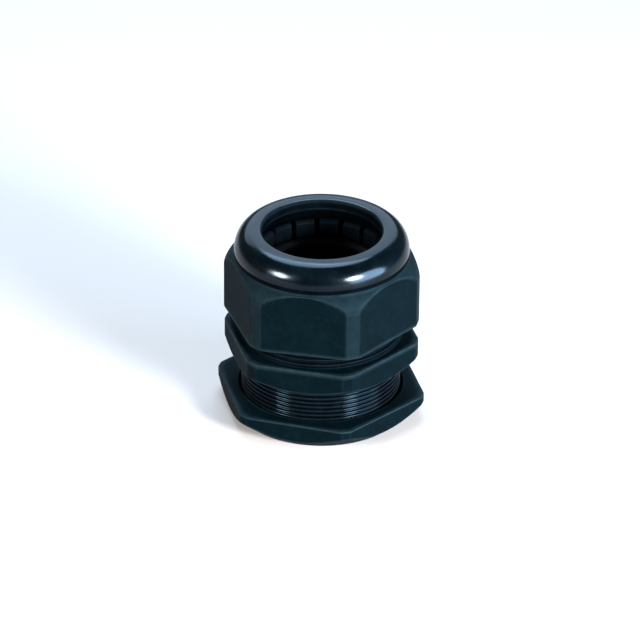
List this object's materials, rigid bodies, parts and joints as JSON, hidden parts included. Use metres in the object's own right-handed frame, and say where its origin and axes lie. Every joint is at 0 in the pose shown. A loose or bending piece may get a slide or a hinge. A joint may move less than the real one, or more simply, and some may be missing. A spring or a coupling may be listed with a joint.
{
  "type": "cable gland",
  "caption": "Black plastic cable gland: domed hexagon nut over a clawed clamping insert and rubber seal, hexagon flange, threaded entry and lock nut.",
  "frame": {"origin": "on the gland's axis at the underside of the flange, where it seats on a panel", "axes": "+Z along the cable axis towards the dome nut, -Y towards a corner of the flange"},
  "size_m": [0.0652, 0.072, 0.0672],
  "materials": {
    "body_nylon": "satin black moulded nylon",
    "dome_nylon": "polished black moulded nylon on the dome, satin on the flats",
    "lock_nylon": "satin black moulded nylon",
    "claw_nylon": "black moulded nylon",
    "seal_rubber": "matt black rubber"
  },
  "bodies": {
    "gland_body": {"gland_body": "body_nylon"},
    "clamping_insert": {"claw_ring": "claw_nylon", "seal": "seal_rubber"},
    "dome_nut": {"dome_nut": "dome_nylon"},
    "lock_nut": {"lock_nut": "lock_nylon"},
    "claw_finger_01": {"claw_finger_01": "claw_nylon"},
    "claw_finger_02": {"claw_finger_02": "claw_nylon"},
    "claw_finger_03": {"claw_finger_03": "claw_nylon"},
    "claw_finger_04": {"claw_finger_04": "claw_nylon"},
    "claw_finger_05": {"claw_finger_05": "claw_nylon"},
    "claw_finger_06": {"claw_finger_06": "claw_nylon"},
    "claw_finger_07": {"claw_finger_07": "claw_nylon"},
    "claw_finger_08": {"claw_finger_08": "claw_nylon"},
    "claw_finger_09": {"claw_finger_09": "claw_nylon"},
    "claw_finger_10": {"claw_finger_10": "claw_nylon"},
    "claw_finger_11": {"claw_finger_11": "claw_nylon"},
    "claw_finger_12": {"claw_finger_12": "claw_nylon"},
    "claw_finger_13": {"claw_finger_13": "claw_nylon"},
    "claw_finger_14": {"claw_finger_14": "claw_nylon"},
    "claw_finger_15": {"claw_finger_15": "claw_nylon"},
    "claw_finger_16": {"claw_finger_16": "claw_nylon"}
  },
  "joints": [
    {"name": "dome_nut_turn", "type": "hinge", "parent": "gland_body", "child": "clamping_insert", "pos_m": [0, 0, 0.0146], "axis": [0, 0, -1], "range_deg": [0, 1010]},
    {"name": "dome_nut_travel", "type": "slide", "parent": "clamping_insert", "child": "dome_nut", "axis": [0, 0, -1], "range_m": [0, 0.0056], "deforming": ["seal"]},
    {"name": "lock_nut_travel", "type": "slide", "parent": "gland_body", "child": "lock_nut", "axis": [0, 0, 1], "range_m": [-0.0091, 0.0112]},
    {"name": "claw_finger_01_bend", "type": "hinge", "parent": "clamping_insert", "child": "claw_finger_01", "pos_m": [0.0231, 0, 0.0184], "axis": [0, -1, 0], "range_deg": [0, 11.4]},
    {"name": "claw_finger_02_bend", "type": "hinge", "parent": "clamping_insert", "child": "claw_finger_02", "pos_m": [0.02134, 0.00884, 0.0184], "axis": [0.3827, -0.9239, 0], "range_deg": [0, 11.4]},
    {"name": "claw_finger_03_bend", "type": "hinge", "parent": "clamping_insert", "child": "claw_finger_03", "pos_m": [0.01633, 0.01633, 0.0184], "axis": [0.7071, -0.7071, 0], "range_deg": [0, 11.4]},
    {"name": "claw_finger_04_bend", "type": "hinge", "parent": "clamping_insert", "child": "claw_finger_04", "pos_m": [0.00884, 0.02134, 0.0184], "axis": [0.9239, -0.3827, 0], "range_deg": [0, 11.4]},
    {"name": "claw_finger_05_bend", "type": "hinge", "parent": "clamping_insert", "child": "claw_finger_05", "pos_m": [0, 0.0231, 0.0184], "axis": [1, 0, 0], "range_deg": [0, 11.4]},
    {"name": "claw_finger_06_bend", "type": "hinge", "parent": "clamping_insert", "child": "claw_finger_06", "pos_m": [-0.00884, 0.02134, 0.0184], "axis": [0.9239, 0.3827, 0], "range_deg": [0, 11.4]},
    {"name": "claw_finger_07_bend", "type": "hinge", "parent": "clamping_insert", "child": "claw_finger_07", "pos_m": [-0.01633, 0.01633, 0.0184], "axis": [0.7071, 0.7071, 0], "range_deg": [0, 11.4]},
    {"name": "claw_finger_08_bend", "type": "hinge", "parent": "clamping_insert", "child": "claw_finger_08", "pos_m": [-0.02134, 0.00884, 0.0184], "axis": [0.3827, 0.9239, 0], "range_deg": [0, 11.4]},
    {"name": "claw_finger_09_bend", "type": "hinge", "parent": "clamping_insert", "child": "claw_finger_09", "pos_m": [-0.0231, 0, 0.0184], "axis": [0, 1, 0], "range_deg": [0, 11.4]},
    {"name": "claw_finger_10_bend", "type": "hinge", "parent": "clamping_insert", "child": "claw_finger_10", "pos_m": [-0.02134, -0.00884, 0.0184], "axis": [-0.3827, 0.9239, 0], "range_deg": [0, 11.4]},
    {"name": "claw_finger_11_bend", "type": "hinge", "parent": "clamping_insert", "child": "claw_finger_11", "pos_m": [-0.01633, -0.01633, 0.0184], "axis": [-0.7071, 0.7071, 0], "range_deg": [0, 11.4]},
    {"name": "claw_finger_12_bend", "type": "hinge", "parent": "clamping_insert", "child": "claw_finger_12", "pos_m": [-0.00884, -0.02134, 0.0184], "axis": [-0.9239, 0.3827, 0], "range_deg": [0, 11.4]},
    {"name": "claw_finger_13_bend", "type": "hinge", "parent": "clamping_insert", "child": "claw_finger_13", "pos_m": [0, -0.0231, 0.0184], "axis": [-1, 0, 0], "range_deg": [0, 11.4]},
    {"name": "claw_finger_14_bend", "type": "hinge", "parent": "clamping_insert", "child": "claw_finger_14", "pos_m": [0.00884, -0.02134, 0.0184], "axis": [-0.9239, -0.3827, 0], "range_deg": [0, 11.4]},
    {"name": "claw_finger_15_bend", "type": "hinge", "parent": "clamping_insert", "child": "claw_finger_15", "pos_m": [0.01633, -0.01633, 0.0184], "axis": [-0.7071, -0.7071, 0], "range_deg": [0, 11.4]},
    {"name": "claw_finger_16_bend", "type": "hinge", "parent": "clamping_insert", "child": "claw_finger_16", "pos_m": [0.02134, -0.00884, 0.0184], "axis": [-0.3827, -0.9239, 0], "range_deg": [0, 11.4]}
  ],
  "couplings": [
    {"joint": "dome_nut_turn", "follows": "dome_nut_travel", "rad_per_m": 3141.6},
    {"joint": "claw_finger_01_bend", "follows": "dome_nut_travel", "rad_per_m": 34.87},
    {"joint": "claw_finger_02_bend", "follows": "dome_nut_travel", "rad_per_m": 34.87},
    {"joint": "claw_finger_03_bend", "follows": "dome_nut_travel", "rad_per_m": 34.87},
    {"joint": "claw_finger_04_bend", "follows": "dome_nut_travel", "rad_per_m": 34.87},
    {"joint": "claw_finger_05_bend", "follows": "dome_nut_travel", "rad_per_m": 34.87},
    {"joint": "claw_finger_06_bend", "follows": "dome_nut_travel", "rad_per_m": 34.87},
    {"joint": "claw_finger_07_bend", "follows": "dome_nut_travel", "rad_per_m": 34.87},
    {"joint": "claw_finger_08_bend", "follows": "dome_nut_travel", "rad_per_m": 34.87},
    {"joint": "claw_finger_09_bend", "follows": "dome_nut_travel", "rad_per_m": 34.87},
    {"joint": "claw_finger_10_bend", "follows": "dome_nut_travel", "rad_per_m": 34.87},
    {"joint": "claw_finger_11_bend", "follows": "dome_nut_travel", "rad_per_m": 34.87},
    {"joint": "claw_finger_12_bend", "follows": "dome_nut_travel", "rad_per_m": 34.87},
    {"joint": "claw_finger_13_bend", "follows": "dome_nut_travel", "rad_per_m": 34.87},
    {"joint": "claw_finger_14_bend", "follows": "dome_nut_travel", "rad_per_m": 34.87},
    {"joint": "claw_finger_15_bend", "follows": "dome_nut_travel", "rad_per_m": 34.87},
    {"joint": "claw_finger_16_bend", "follows": "dome_nut_travel", "rad_per_m": 34.87}
  ]
}
